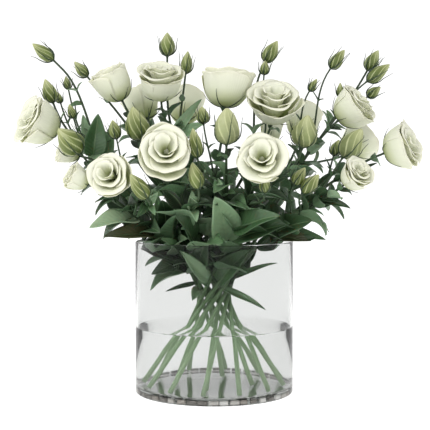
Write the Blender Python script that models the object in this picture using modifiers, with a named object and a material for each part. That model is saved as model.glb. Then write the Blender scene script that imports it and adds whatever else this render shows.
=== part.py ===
"""Cream lisianthus, hand-tied in a spiral, standing in a clear glass cylinder vase with some water.

The frame: +Z is up, +X is to the right of someone looking at the front and -Y points at that person.
The origin is the centre of the vase's underside. The tables of flowers, shoots and leaves are in
millimetres: x and y from the vase's axis, z from the vase's rim.
"""

import math
from collections import namedtuple

import bmesh
import bpy
from mathutils import Vector

MM = 0.001
GAP = 0.0003  # left between pieces that touch
NECK_GAP = 0.0007  # left between a stem's end and its flower
SHARP_ANGLE = math.radians(65)

# Vase and water
VASE_DIAMETER = 0.190
VASE_HEIGHT = 0.182
VASE_WALL = 0.003
VASE_FLOOR = 0.008
VASE_BASE_EDGE = 0.003
VASE_STEPS = 64
WATER_DEPTH = 0.070

# Stems: they lean like the rulings of a waisted basket and are tightest at the tie
STEM_DIAMETER = 0.0050
NECK_DIAMETER = 0.0026
SHOOT_DIAMETER = 0.0020
TIE_BELOW_RIM = 0.067
OUTER_TIE_RADIUS = 0.018
INNER_TIE_RADIUS = 0.0075
OUTER_FOOT_TO_WALL = 0.012
INNER_FOOT_TO_WALL = 0.048
SPIRAL_START = math.radians(-22)
STEM_POINTS = 12
STEM_LEAVE = 0.40  # share of its span that a stem keeps the lean it has at the tie
STEM_ARRIVE = 0.22  # share of its span that it follows its flower's axis
SHOOT_POINTS = 7
SHOOT_BEND = 0.35  # the same for both ends of a side shoot

# Blooms, buds and leaves
BLOOM_STEPS = 15
BUD_STEPS = 10
LEAF_THICKNESS = 0.0008
LEAF_TO_STEM = 0.0010  # free space between a stem and the foot of its leaf

Flower = namedtuple("Flower", "name base facing width length")
Stem = namedtuple("Stem", "name ring slot top shoots")
Leaf = namedtuple("Leaf", "name stem share tip width lift side inside")

# name, base of the cup, way it faces, width of its mouth, length of the cup
BLOOMS = [
    Flower("bloom_far_left", (-186, -20, 130), (-0.80, -0.44, 0.40), 58, 46),
    Flower("bloom_upper_left", (-111, 5, 169), (-0.45, -0.15, 0.88), 48, 42),
    Flower("bloom_top_left", (-64, 5, 170), (0.02, -0.50, 0.86), 54, 42),
    Flower("bloom_rear_left", (-84, 70, 150), (-0.35, 0.45, 0.80), 48, 40),
    Flower("bloom_rear_centre", (-38, 88, 146), (0.05, 0.50, 0.85), 50, 42),
    Flower("bloom_front_left", (-112, -66, 76), (-0.20, -0.97, 0.08), 48, 38),
    Flower("bloom_front_centre", (-54, -76, 102), (0.00, -0.98, 0.10), 56, 40),
    Flower("bloom_low_left", (-143, -75, 69), (-0.82, -0.35, 0.45), 30, 26),
    Flower("bloom_half_open_left", (-156, -48, 101), (-0.98, -0.15, 0.08), 20, 27),
    Flower("bloom_top_centre", (14, 0, 160), (0.05, 0.05, 0.99), 62, 44),
    Flower("bloom_top_right", (70, -5, 147), (0.00, -0.70, 0.71), 62, 40),
    Flower("bloom_front_right", (55, -76, 94), (-0.06, -0.98, 0.10), 56, 40),
    Flower("bloom_rear_right", (108, 72, 128), (0.20, 0.55, 0.80), 48, 42),
    Flower("bloom_upper_right", (150, 8, 145), (0.72, -0.30, 0.60), 54, 42),
    Flower("bloom_rear_far_right", (166, 55, 106), (0.62, 0.60, 0.42), 52, 42),
    Flower("bloom_far_right", (202, -20, 105), (0.86, -0.38, 0.32), 56, 40),
    Flower("bloom_low_right", (152, -60, 70), (0.50, -0.70, 0.48), 38, 32),
    Flower("bloom_rear_small", (70, 62, 118), (0.10, 0.30, 0.94), 28, 30),
]

# name, base of the bud, way it points, width, length
BUDS = [
    Flower("bud_far_left_tall", (-192, -5, 216), (-0.78, -0.15, 0.62), 16, 31),
    Flower("bud_left_tall", (-155, 26, 199), (-0.65, 0.00, 0.76), 14, 24),
    Flower("bud_left", (-191, -15, 165), (-0.30, -0.15, 0.94), 17, 29),
    Flower("bud_crown_tall", (-58, 44, 226), (0.00, 0.05, 1.00), 20, 29),
    Flower("bud_crown", (-35, 30, 203), (0.10, 0.10, 0.98), 15, 28),
    Flower("bud_large_left", (-86, -42, 120), (-0.20, -0.25, 0.95), 28, 40),
    Flower("bud_centre", (-19, -84, 99), (-0.14, -0.25, 0.96), 16, 34),
    Flower("bud_centre_low", (-18, -94, 64), (-0.20, -0.25, 0.94), 18, 31),
    Flower("bud_front_left", (-75, -98, 53), (-0.52, -0.28, 0.80), 19, 34),
    Flower("bud_olive_left", (-152, -72, 104), (-0.62, -0.30, 0.72), 29, 38),
    Flower("bud_crown_right", (62, 20, 216), (0.50, 0.05, 0.86), 18, 30),
    Flower("bud_right_tall", (189, 40, 208), (0.48, 0.00, 0.88), 17, 28),
    Flower("bud_half_open_centre", (14, -74, 114), (0.02, -0.16, 0.98), 30, 41),
    Flower("bud_large_centre_right", (102, -50, 111), (0.16, -0.16, 0.97), 30, 38),
    Flower("bud_large_right", (150, -42, 100), (0.54, -0.16, 0.82), 27, 39),
]

# name, ring, slot around the tie, bloom at its top, side shoots as (bloom or bud, share of the way up)
STEMS = [
    Stem("stem_rear_right", "outer", 0, "bloom_rear_right", [("bloom_rear_small", 0.55)]),
    Stem("stem_rear_centre", "outer", 1, "bloom_rear_centre", []),
    Stem("stem_rear_left", "outer", 2, "bloom_rear_left", []),
    Stem("stem_upper_left", "outer", 3, "bloom_upper_left", [("bud_left_tall", 0.60)]),
    Stem("stem_far_left", "outer", 4, "bloom_far_left",
         [("bud_left", 0.75), ("bud_far_left_tall", 0.60)]),
    Stem("stem_low_left", "outer", 5, "bloom_low_left",
         [("bloom_half_open_left", 0.60), ("bud_olive_left", 0.72)]),
    Stem("stem_front_left", "outer", 6, "bloom_front_left", [("bud_front_left", 0.55)]),
    Stem("stem_front_centre", "outer", 7, "bloom_front_centre", [("bud_centre_low", 0.40)]),
    Stem("stem_front_right", "outer", 8, "bloom_front_right", [("bud_large_centre_right", 0.50)]),
    Stem("stem_low_right", "outer", 9, "bloom_low_right", [("bud_large_right", 0.55)]),
    Stem("stem_far_right", "outer", 10, "bloom_far_right", []),
    Stem("stem_upper_right", "outer", 11, "bloom_upper_right",
         [("bloom_rear_far_right", 0.60), ("bud_right_tall", 0.65)]),
    Stem("stem_half_open_centre", "inner", 0, "bud_half_open_centre", [("bud_centre", 0.55)]),
    Stem("stem_top_right", "inner", 1, "bloom_top_right", [("bud_crown_right", 0.55)]),
    Stem("stem_top_centre", "inner", 2, "bloom_top_centre", []),
    Stem("stem_top_left", "inner", 3, "bloom_top_left",
         [("bud_large_left", 0.45), ("bud_crown", 0.55), ("bud_crown_tall", 0.70)]),
]

# name, stem it grows from, share of the way up, tip, width, lift of its middle, way its blade turns;
# a leaf inside the vase has its tip's x and y as shares of the inside radius
LEAVES = [
    Leaf("leaf_rim_left", "stem_low_left", 0.42, (-126, -72, 8), 26, 4, (0.2, -0.7, 0.7), False),
    Leaf("leaf_dark_left", "stem_front_left", 0.42, (-60, -74, 50), 24, -4, (0.1, -1.0, 0.1), False),
    Leaf("leaf_pale_left", "stem_low_left", 0.58, (-141, -84, 20), 15, 4, (0.2, -0.5, 0.8), False),
    Leaf("leaf_light_centre", "stem_front_right", 0.33, (2, -80, 54), 34, -4, (0.1, -1.0, 0.1), False),
    Leaf("leaf_dark_right", "stem_front_right", 0.42, (74, -88, 34), 30, 4, (0.1, -0.9, 0.4), False),
    Leaf("leaf_mid_right", "stem_low_right", 0.42, (112, -82, 28), 28, 4, (0.1, -0.9, 0.4), False),
    Leaf("leaf_upper_left", "stem_far_left", 0.75, (-136, -36, 150), 22, 3, (0.2, -0.9, 0.2), False),
    Leaf("leaf_inside_left", "stem_low_left", 0.25, (-0.80, -0.36, -38), 18, 2, (0.1, -0.9, 0.3), True),
    Leaf("leaf_inside_pale", "stem_front_right", 0.10, (-0.40, -0.62, -10), 16, 3, (0.1, -0.9, 0.3), True),
]


def srgb(red, green, blue):
    """A display colour, 0 to 255, as the linear colour that a shader takes."""
    return [(c / 255 / 12.92) if c < 11 else ((c / 255 + 0.055) / 1.055) ** 2.4 for c in (red, green, blue)]


def material(name, colour, roughness, transmission=0.0, ior=1.45):
    mat = bpy.data.materials.new(name)
    mat.use_nodes = True
    shader = mat.node_tree.nodes["Principled BSDF"]
    shader.inputs["Base Color"].default_value = (*srgb(*colour), 1)
    shader.inputs["Roughness"].default_value = roughness
    shader.inputs["Metallic"].default_value = 0.0
    shader.inputs["Transmission Weight"].default_value = transmission
    shader.inputs["IOR"].default_value = ior
    mat.diffuse_color = (*srgb(*colour), 1)
    return mat


def collection(name):
    made = bpy.data.collections.new(name)
    bpy.context.scene.collection.children.link(made)
    return made


def from_rim(place):
    """A table's place in metres from the origin."""
    return Vector(place) * MM + Vector((0, 0, VASE_HEIGHT))


def add_mesh(name, mesh, mat, parts):
    item = bpy.data.objects.new(name, mesh)
    mesh.materials.append(mat)
    parts.objects.link(item)
    return item


def turned(name, profile, steps, mat, parts):
    """A turned solid: the profile of (radius, height) points runs down the outer side."""
    mesh = bpy.data.meshes.new(name)
    points = [(radius, 0, height) for radius, height in profile]
    mesh.from_pydata(points, [(i, i + 1) for i in range(len(points) - 1)], [])
    item = add_mesh(name, mesh, mat, parts)
    screw = item.modifiers.new("Turn", "SCREW")
    screw.steps = screw.render_steps = steps
    screw.use_merge_vertices = True
    screw.merge_threshold = 0.0001
    return item


def arc(centre, radius, start, end, count):
    """Points of a round edge, with its angles in degrees."""
    turns = [math.radians(start + (end - start) * i / (count - 1)) for i in range(count)]
    return [(centre[0] + radius * math.cos(t), centre[1] + radius * math.sin(t)) for t in turns]


def tube(name, points, radii, sides, mat, parts):
    """A closed round tube through the points, as a mesh."""
    curve = bpy.data.curves.new(name, "CURVE")
    curve.dimensions = "3D"
    curve.bevel_depth = 1.0
    curve.bevel_resolution = sides // 2 - 2
    curve.use_fill_caps = True
    spline = curve.splines.new("POLY")
    spline.points.add(len(points) - 1)
    for point, place, radius in zip(spline.points, points, radii):
        point.co = (*place, 1)
        point.radius = radius
    route = bpy.data.objects.new(name + "_route", curve)
    parts.objects.link(route)
    depsgraph = bpy.context.evaluated_depsgraph_get()
    mesh = bpy.data.meshes.new_from_object(route.evaluated_get(depsgraph))
    bm = bmesh.new()
    bm.from_mesh(mesh)
    bmesh.ops.remove_doubles(bm, verts=bm.verts, dist=0.00005)
    bmesh.ops.recalc_face_normals(bm, faces=bm.faces)
    bm.to_mesh(mesh)
    bm.free()
    mesh.name = name
    mesh.materials.clear()
    mesh.shade_smooth()
    mesh.set_sharp_from_angle(angle=SHARP_ANGLE)
    item = add_mesh(name, mesh, mat, parts)
    item.matrix_world = route.matrix_world.copy()
    bpy.data.objects.remove(route)
    bpy.data.curves.remove(curve)
    return item


def join(item, tool, operation):
    """Adds the tool to the item, or takes it away; the tool itself is hidden."""
    tool.hide_render = True
    tool.display_type = "WIRE"
    cut = item.modifiers.new(tool.name, "BOOLEAN")
    cut.operation = operation
    cut.solver = "EXACT"
    cut.object = tool


def bezier(start, leave, arrive, end, count):
    """Points of a cubic curve, without its first one."""
    points = []
    for i in range(1, count + 1):
        t = i / count
        s = 1 - t
        points.append(s**3 * start + 3 * s * s * t * leave + 3 * s * t * t * arrive + t**3 * end)
    return points


def vase(glass, parts):
    outer = VASE_DIAMETER / 2
    inner = outer - VASE_WALL
    lip = VASE_WALL / 2
    profile = [(0, VASE_FLOOR), (inner, VASE_FLOOR)]
    profile += arc((outer - lip, VASE_HEIGHT - lip), lip, 180, 0, 5)
    profile += arc((outer - VASE_BASE_EDGE, VASE_BASE_EDGE), VASE_BASE_EDGE, 0, -90, 3)
    profile += [(0, 0)]
    return turned("glass_vase", profile, VASE_STEPS, glass, parts)


def ruling(ring, slot):
    """The foot of a stem, its place at the tie and the way it leans, on its ring of the spiral."""
    outer = ring == "outer"
    tie_radius = OUTER_TIE_RADIUS if outer else INNER_TIE_RADIUS
    foot_to_wall = OUTER_FOOT_TO_WALL if outer else INNER_FOOT_TO_WALL
    foot_radius = VASE_DIAMETER / 2 - VASE_WALL - foot_to_wall
    count = sum(stem.ring == ring for stem in STEMS)
    angle = SPIRAL_START + 2 * math.pi * slot / count
    outward = Vector((math.cos(angle), math.sin(angle), 0))
    along = Vector((-math.sin(angle), math.cos(angle), 0))
    tie_height = VASE_HEIGHT - TIE_BELOW_RIM
    tie = outward * tie_radius + Vector((0, 0, tie_height))
    reach = math.sqrt(foot_radius**2 - tie_radius**2)
    drop = tie_height - VASE_FLOOR - GAP
    tilt = math.atan2(reach, drop)
    drop -= STEM_DIAMETER / 2 * math.sin(tilt)
    foot = tie - along * reach - Vector((0, 0, drop))
    return foot, tie, (tie - foot).normalized()


def flower_end(flower):
    """Where a stem ends under a flower, and the way it arrives there."""
    facing = Vector(flower.facing).normalized()
    return from_rim(flower.base) - facing * NECK_GAP, facing


def stem_route(stem, flowers):
    foot, tie, lean = ruling(stem.ring, stem.slot)
    end, facing = flower_end(flowers[stem.top])
    span = (end - tie).length
    leave, arrive = tie + lean * span * STEM_LEAVE, end - facing * span * STEM_ARRIVE
    upper = bezier(tie, leave, arrive, end, STEM_POINTS)
    return [foot, tie] + upper


def shoot_route(route, share, flower):
    """A side shoot from a point of the stem's upper part to its bud or bloom."""
    place = 1 + max(1, round(share * STEM_POINTS))
    start = route[place]
    up = (route[place + 1] - route[place - 1]).normalized()
    end, facing = flower_end(flower)
    span = (end - start).length
    bend = span * SHOOT_BEND
    return [start] + bezier(start, start + up * bend, end - facing * bend, end, SHOOT_POINTS)


def stems(green, parts, cutters):
    flowers = {flower.name: flower for flower in BLOOMS + BUDS}
    routes = {}
    for stem in STEMS:
        route = routes[stem.name] = stem_route(stem, flowers)
        taper = [STEM_DIAMETER / 2] * 2
        taper += [(STEM_DIAMETER + (NECK_DIAMETER - STEM_DIAMETER) * i / STEM_POINTS) / 2
                  for i in range(1, STEM_POINTS + 1)]
        item = tube(stem.name, route, taper, 6, green, parts)
        for name, share in stem.shoots:
            points = shoot_route(route, share, flowers[name])
            radii = [SHOOT_DIAMETER / 2] * len(points)
            join(item, tube("shoot_" + name, points, radii, 6, green, cutters), "UNION")
    return routes


def water(clear, parts, cutters):
    radius = VASE_DIAMETER / 2 - VASE_WALL - GAP
    bottom = VASE_FLOOR + GAP
    top = VASE_FLOOR + WATER_DEPTH
    item = turned("water", [(0, top), (radius, top), (radius, bottom), (0, bottom)], VASE_STEPS, clear, parts)
    sides = 8
    bore = (STEM_DIAMETER / 2 + GAP) / math.cos(math.pi / sides)
    for stem in STEMS:
        foot, tie, lean = ruling(stem.ring, stem.slot)
        points = [foot - lean * STEM_DIAMETER * 2, tie]
        join(item, tube("bore_" + stem.name, points, [bore] * 2, sides, clear, cutters), "DIFFERENCE")


def point_up(item, flower):
    item.location = from_rim(flower.base)
    item.rotation_mode = "QUATERNION"
    item.rotation_quaternion = Vector(flower.facing).to_track_quat("Z", "Y")


def bloom(flower, cream, parts):
    """A round cup filled with petals: a dip at its mouth, then the rim and the outside, turned."""
    mouth = flower.width / 2 * MM
    length = flower.length * MM
    dip = [(0, 0.55), (0.45, 0.72), (0.88, 1.00)]
    outside = [(0.99, 0.86), (0.98, 0.66), (0.86, 0.38), (0.58, 0.13), (0.16, 0), (0, 0)]
    profile = [(share * mouth, rise * length) for share, rise in dip + outside]
    point_up(turned(flower.name, profile, BLOOM_STEPS, cream, parts), flower)


def bud(flower, olive, parts):
    """A pointed ovoid, turned from its tip down."""
    half = flower.width / 2 * MM
    length = flower.length * MM
    shape = [(0, 1.00), (0.22, 0.90), (0.58, 0.70), (0.88, 0.48), (1.00, 0.28), (0.70, 0.08), (0.2, 0)]
    profile = [(share * half, rise * length) for share, rise in shape] + [(0, 0)]
    point_up(turned(flower.name, profile, BUD_STEPS, olive, parts), flower)


def leaf_ends(row, routes):
    """The base of a leaf, on the side of its stem that its tip is on, and its tip."""
    route = routes[row.stem]
    place = 1 + round(row.share * STEM_POINTS)
    tip = from_rim(row.tip)
    if row.inside:
        inner = VASE_DIAMETER / 2 - VASE_WALL
        tip.x, tip.y = row.tip[0] * inner, row.tip[1] * inner
    grows = (route[place + 1] - route[place - 1]).normalized()
    outward = tip - route[place]
    outward = (outward - grows * outward.dot(grows)).normalized()
    return route[place] + outward * (STEM_DIAMETER / 2 + LEAF_TO_STEM), tip


def leaf(row, routes, green, parts):
    """An ovate blade along a bent midrib, from a flat grid that is bent and then given its thickness."""
    base, tip = leaf_ends(row, routes)
    way = tip - base
    normal = Vector(row.side).normalized()
    across = way.cross(normal).normalized()
    up = across.cross(way).normalized()
    bm = bmesh.new()
    bmesh.ops.create_grid(bm, x_segments=8, y_segments=2, size=1.0)
    for vert in bm.verts:
        along = (vert.co.x + 1) / 2
        half = row.width / 2 * MM * max(0.12, math.sin(math.pi * along**0.75)) if along < 1 else 0.0006
        bow = row.lift * MM * math.sin(math.pi * along)
        fold = abs(vert.co.y) * half * 0.25
        vert.co = base + way * along + across * vert.co.y * half + up * (bow + fold)
    mesh = bpy.data.meshes.new(row.name)
    bm.to_mesh(mesh)
    bm.free()
    item = add_mesh(row.name, mesh, green, parts)
    thick = item.modifiers.new("Blade", "SOLIDIFY")
    thick.thickness = LEAF_THICKNESS
    thick.offset = 0


def main():
    for item in list(bpy.data.objects):
        bpy.data.objects.remove(item)
    parts = collection("lisianthus_in_vase")
    cutters = collection("cutters")
    glass = material("clear_glass", (235, 238, 236), 0.02, 1.0, 1.5)
    clear = material("water", (232, 238, 234), 0.0, 1.0, 1.33)
    stem_green = material("stem_green", (58, 75, 53), 0.5)
    leaf_green = material("leaf_green", (52, 76, 42), 0.45)
    cream = material("cream_petal", (240, 238, 224), 0.6)
    olive = material("olive_bud", (148, 155, 100), 0.5)
    vase(glass, parts)
    water(clear, parts, cutters)
    routes = stems(stem_green, parts, cutters)
    for flower in BLOOMS:
        bloom(flower, cream, parts)
    for flower in BUDS:
        bud(flower, olive, parts)
    for row in LEAVES:
        leaf(row, routes, leaf_green, parts)


main()
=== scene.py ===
"""The looks of a bunch of cream lisianthus in a glass cylinder vase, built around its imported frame."""

import math

import bpy
import numpy as np
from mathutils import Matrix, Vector

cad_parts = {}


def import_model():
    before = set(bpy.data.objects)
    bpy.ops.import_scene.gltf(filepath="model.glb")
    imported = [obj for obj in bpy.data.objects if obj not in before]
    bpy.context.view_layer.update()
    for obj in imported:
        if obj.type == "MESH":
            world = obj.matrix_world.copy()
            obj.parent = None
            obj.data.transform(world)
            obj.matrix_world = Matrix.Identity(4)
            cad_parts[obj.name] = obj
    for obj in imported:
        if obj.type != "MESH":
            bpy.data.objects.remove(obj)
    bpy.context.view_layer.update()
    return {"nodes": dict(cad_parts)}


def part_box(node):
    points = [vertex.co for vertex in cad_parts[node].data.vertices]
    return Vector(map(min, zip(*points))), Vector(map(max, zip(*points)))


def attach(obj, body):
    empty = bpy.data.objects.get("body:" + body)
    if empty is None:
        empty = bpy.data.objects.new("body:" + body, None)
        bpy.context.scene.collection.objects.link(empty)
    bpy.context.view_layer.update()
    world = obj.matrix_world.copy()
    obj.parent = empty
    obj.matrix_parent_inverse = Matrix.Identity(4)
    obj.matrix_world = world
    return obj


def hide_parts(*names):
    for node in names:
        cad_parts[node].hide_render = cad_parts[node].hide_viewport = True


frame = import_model()
MM = 0.001
UP = np.array([0.0, 0.0, 1.0])
TINY = 1e-12  # keeps a length of nothing from dividing
ASKEW = (0.3, 0.9, 0.2)  # a direction that no tube starts along

# The vase and the water, read from the frame
VASE_LOW, VASE_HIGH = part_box("glass_vase")
WATER_LOW, WATER_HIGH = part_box("water")
OUTER_RADIUS = (VASE_HIGH[0] - VASE_LOW[0]) / 2
RIM = VASE_HIGH[2]
GAP = 0.0003  # the frame's space between pieces that touch
INNER_RADIUS = (WATER_HIGH[0] - WATER_LOW[0]) / 2 + GAP
FLOOR = WATER_LOW[2] - GAP
WATER_LEVEL = WATER_HIGH[2]

# The spiral of the stems, as in the frame
STEM_RADIUS = 0.0025
NECK_RADIUS = 0.0013
SHOOT_RADIUS = 0.0013
NECK_GAP = 0.0007
TIE_HEIGHT = RIM - 0.067
TIE_RADIUS = {"outer": 0.018, "inner": 0.0075}
FOOT_TO_WALL = {"outer": 0.012, "inner": 0.048}
SLOTS = {"outer": 12, "inner": 4}
SPIRAL_START = math.radians(-22)
STEM_POINTS = 12
SHOOT_POINTS = 7
SMALL_SHOOT_POINTS = 14
# how far a curve runs straight on from its two ends, as shares of its span
STEM_HANDLES = (0.40, 0.22)
SHOOT_HANDLE = 0.35

# stem: ring, slot, flower at its top, side shoots as (flower, share of the way up)
STEMS = {
    "stem_rear_right": ("outer", 0, "bloom_rear_right", [("bloom_rear_small", 0.55)]),
    "stem_rear_centre": ("outer", 1, "bloom_rear_centre", []),
    "stem_rear_left": ("outer", 2, "bloom_rear_left", []),
    "stem_upper_left": ("outer", 3, "bloom_upper_left", [("bud_left_tall", 0.60)]),
    "stem_far_left": ("outer", 4, "bloom_far_left", [("bud_left", 0.75), ("bud_far_left_tall", 0.60)]),
    "stem_low_left": ("outer", 5, "bloom_low_left",
                      [("bloom_half_open_left", 0.60), ("bud_olive_left", 0.72)]),
    "stem_front_left": ("outer", 6, "bloom_front_left", [("bud_front_left", 0.55)]),
    "stem_front_centre": ("outer", 7, "bloom_front_centre", [("bud_centre_low", 0.40)]),
    "stem_front_right": ("outer", 8, "bloom_front_right", [("bud_large_centre_right", 0.50)]),
    "stem_low_right": ("outer", 9, "bloom_low_right", [("bud_large_right", 0.55)]),
    "stem_far_right": ("outer", 10, "bloom_far_right", []),
    "stem_upper_right": ("outer", 11, "bloom_upper_right",
                         [("bloom_rear_far_right", 0.60), ("bud_right_tall", 0.65)]),
    "stem_half_open_centre": ("inner", 0, "bud_half_open_centre", [("bud_centre", 0.55)]),
    "stem_top_right": ("inner", 1, "bloom_top_right", [("bud_crown_right", 0.55)]),
    "stem_top_centre": ("inner", 2, "bloom_top_centre", []),
    "stem_top_left": ("inner", 3, "bloom_top_left",
                      [("bud_large_left", 0.45), ("bud_crown", 0.55), ("bud_crown_tall", 0.70)]),
}

# leaf of the frame: stem, share of the way up, width and lift of its middle (mm), way its blade turns, tone,
# which is partly painted shade and light
FRAME_LEAVES = {
    "leaf_rim_left": ("stem_low_left", 0.42, 28, 8, (0.2, -0.6, 0.8), 0.95),
    "leaf_dark_left": ("stem_front_left", 0.42, 24, -4, (0.1, -1.0, 0.1), 0.0),
    "leaf_pale_left": ("stem_low_left", 0.58, 28, 4, (0.2, -0.5, 0.8), 0.78),
    "leaf_light_centre": ("stem_front_right", 0.33, 36, -2, (0.1, -1.0, 0.2), 0.62),
    "leaf_dark_right": ("stem_front_right", 0.42, 30, 4, (0.1, -0.9, 0.4), 0.2),
    "leaf_mid_right": ("stem_low_right", 0.42, 28, 4, (0.1, -0.9, 0.4), 0.1),
    "leaf_upper_left": ("stem_far_left", 0.75, 28, 3, (0.2, -0.9, 0.2), 0.25),
    "leaf_inside_left": ("stem_low_left", 0.25, 20, 2, (0.1, -0.9, 0.3), 0.1),
    "leaf_inside_pale": ("stem_front_right", 0.10, 16, 3, (0.1, -0.9, 0.3), 0.6),
}

# small side buds: stem, share of the way up, place of the bud's base from there (mm), the bud's facing,
# its width and length (mm)
SMALL_BUDS = [
    ("stem_far_left", 0.67, (-45, 15, 95), (-0.2, 0, 1), 9, 16),
    ("stem_far_left", 0.75, (-40, 15, 65), (-0.3, 0.1, 1), 8, 14),
    ("stem_far_left", 0.75, (-20, -20, 45), (-0.3, -0.1, 1), 10, 17),
    ("stem_top_centre", 0.50, (-10, -30, 80), (-0.1, 0, 1), 15, 20),
    ("stem_front_left", 0.67, (-25, -15, 70), (-0.2, -0.2, 1), 14, 22),
    ("stem_top_right", 0.75, (5, -5, 90), (0.1, 0, 1), 12, 17),
    ("stem_upper_right", 0.67, (35, 0, 115), (0.6, 0, 0.8), 15, 28),
    ("stem_upper_right", 0.58, (20, -20, 105), (0.5, 0, 0.8), 9, 17),
    ("stem_upper_right", 0.75, (70, 10, 85), (0.8, 0, 0.6), 17, 34),
    ("stem_upper_right", 0.72, (75, 15, 72), (0.8, 0, 0.6), 13, 20),
    ("stem_upper_right", 0.75, (35, -5, 65), (0, 0, 1), 9, 17),
    ("stem_far_right", 0.58, (20, 5, 45), (0.3, 0, 0.9), 14, 20),
    ("stem_low_right", 0.50, (10, -40, 50), (0.5, -0.2, 0.8), 15, 23),
    ("stem_low_right", 0.58, (5, -40, 30), (0.6, -0.2, 0.7), 17, 28),
    ("stem_front_right", 0.50, (25, -52, 25), (0, -0.2, 1), 13, 20),
]

# opposite pairs of leaves up each stem, and on each side shoot: share of the way up, length (mm), and on
# the stem the width (mm)
LEAF_PAIRS = [(0.17, 46, 27), (0.28, 56, 33), (0.38, 58, 34), (0.48, 52, 30), (0.58, 44, 25), (0.68, 35, 19),
              (0.78, 27, 14), (0.88, 19, 9)]
SHOOT_PAIRS = [(0.10, 26), (0.42, 22), (0.72, 15)]

# the tones of the leaves in pairs, 0 dark to 0.75 pale, and how often each comes; 0.95 is a dry brown; the
# darker and paler tones are partly painted shade and light, besides the leaves' own differences
PAIR_TONES = {0.0: 0.24, 0.08: 0.18, 0.18: 0.16, 0.30: 0.17, 0.45: 0.14, 0.62: 0.11}
SHOOT_TONES = [0.0, 0.2, 0.45, 0.6]

# single leaves: stem, share of the way up, tip from there (mm), width (mm), tone; the tones are partly
# painted shade and light: dark for leaves deep in the bunch and the vase, pale for leaves in the light
SINGLE_LEAVES = [
    ("stem_far_left", 0.75, (-12, 5, 50), 16, 0.60),
    ("stem_far_left", 0.67, (10, -10, 55), 14, 0.40),
    ("stem_far_left", 0.92, (-8, -12, -14), 9, 0.05),
    ("stem_low_left", 0.75, (-12, -12, 18), 10, 0.05),
    ("stem_upper_left", 0.50, (-34, -10, 40), 13, 0.05),
    ("stem_front_centre", 0.58, (-20, -12, 24), 13, 0.20),
    ("stem_front_left", 0.50, (2, -16, 30), 14, 0.45),
    ("stem_top_left", 0.75, (35, 0, 45), 13, 0.60),
    ("stem_top_left", 0.75, (-18, -14, 24), 13, 0.05),
    ("stem_top_centre", 0.92, (-6, -12, 14), 9, 0.10),
    ("stem_upper_right", 0.50, (44, -22, 20), 13, 0.05),
    ("stem_far_right", 0.67, (50, -20, 22), 10, 0.05),
    ("stem_far_right", 0.58, (18, -15, 26), 12, 0.05),
    ("stem_low_right", 0.75, (34, -12, -8), 11, 0.05),
    ("stem_front_right", 0.67, (45, -14, -16), 15, 0.05),
    ("stem_low_right", 0.42, (46, -20, -10), 22, 0.95),
    ("stem_far_right", 0.33, (62, -16, -8), 16, 0.30),
    ("stem_front_right", 0.33, (70, -40, 24), 34, 0.12),
    ("stem_front_centre", 0.33, (-20, -34, 30), 30, 0.12),
    ("stem_low_right", 0.33, (70, -10, 12), 24, 0.10),
    ("stem_low_left", 0.25, (-34, -20, 12), 26, 0.00),
    ("stem_front_right", 0.08, (-32, -30, 42), 18, 0.35),
    ("stem_low_right", 0.08, (36, -28, 42), 26, 0.20),
    ("stem_far_right", 0.08, (56, -20, 22), 7, 0.35),
    ("stem_far_right", 0.04, (50, -20, -22), 9, 0.40),
    ("stem_front_centre", 0.04, (-8, -26, -10), 13, 0.60),
    ("stem_front_left", 0.08, (-36, -16, -8), 6, 0.10),
    ("stem_front_centre", 0.17, (10, -22, 34), 26, 0.05),
    ("stem_half_open_centre", 0.08, (14, -34, 42), 28, 0.00),
    ("stem_top_left", 0.08, (-20, -30, 34), 24, 0.05),
    ("stem_top_right", 0.08, (24, -24, 38), 26, 0.00),
    ("stem_front_left", 0.25, (-24, -40, 26), 19, 0.35),
    ("stem_low_left", 0.17, (-30, -16, 10), 28, 0.00),
    ("stem_rear_left", 0.17, (-34, 4, 24), 28, 0.00),
    ("stem_upper_left", 0.17, (-30, -8, 26), 28, 0.02),
    ("stem_top_centre", 0.12, (6, -18, 36), 30, 0.02),
    ("stem_rear_centre", 0.17, (-8, 8, 34), 30, 0.00),
    ("stem_rear_right", 0.17, (22, 4, 26), 26, 0.05),
    ("stem_rear_right", 0.12, (8, -6, 36), 28, 0.00),
]

# single leaves on side shoots: the flower at the shoot's end, share of the way to it, tip from there (mm),
# width (mm), tone
SHOOT_LEAVES = [
    ("bud_far_left_tall", 0.35, (25, -6, 3), 20, 0.05),
    ("bud_far_left_tall", 0.30, (-8, -8, -22), 15, 0.60),
    ("bud_far_left_tall", 0.62, (-16, -4, -4), 7, 0.30),
    ("bud_left", 0.40, (15, -8, 2), 9, 0.05),
    ("bud_olive_left", 0.60, (20, -14, -14), 14, 0.05),
    ("bud_crown_tall", 0.60, (-22, -8, 8), 12, 0.05),
    ("bud_crown_tall", 0.10, (-34, -8, 8), 15, 0.10),
    ("bud_crown_tall", 0.12, (34, -8, 22), 17, 0.55),
    ("bud_right_tall", 0.45, (-6, -4, 17), 9, 0.55),
    ("bud_right_tall", 0.42, (17, -4, -3), 7, 0.05),
    ("bud_large_right", 0.40, (26, -10, -4), 12, 0.05),
    ("bud_large_centre_right", 0.45, (24, -8, 10), 14, 0.05),
]


def unit(vector):
    vector = np.asarray(vector, float)
    return vector / max(np.linalg.norm(vector), TINY)


def curve(points, t):
    """Points of a cubic curve, or the radii or heights of a profile, from its four control points."""
    s = 1 - t
    return s**3 * points[0] + 3 * s * s * t * points[1] + 3 * s * t * t * points[2] + t**3 * points[3]


# -------------------- the frame's flowers and stems


def corners(node):
    """The corner points of a node's triangles."""
    mesh = frame["nodes"][node].data
    mesh.calc_loop_triangles()
    points = np.array([v.co[:] for v in mesh.vertices])
    return points[np.array([t.vertices[:] for t in mesh.loop_triangles])]


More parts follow.
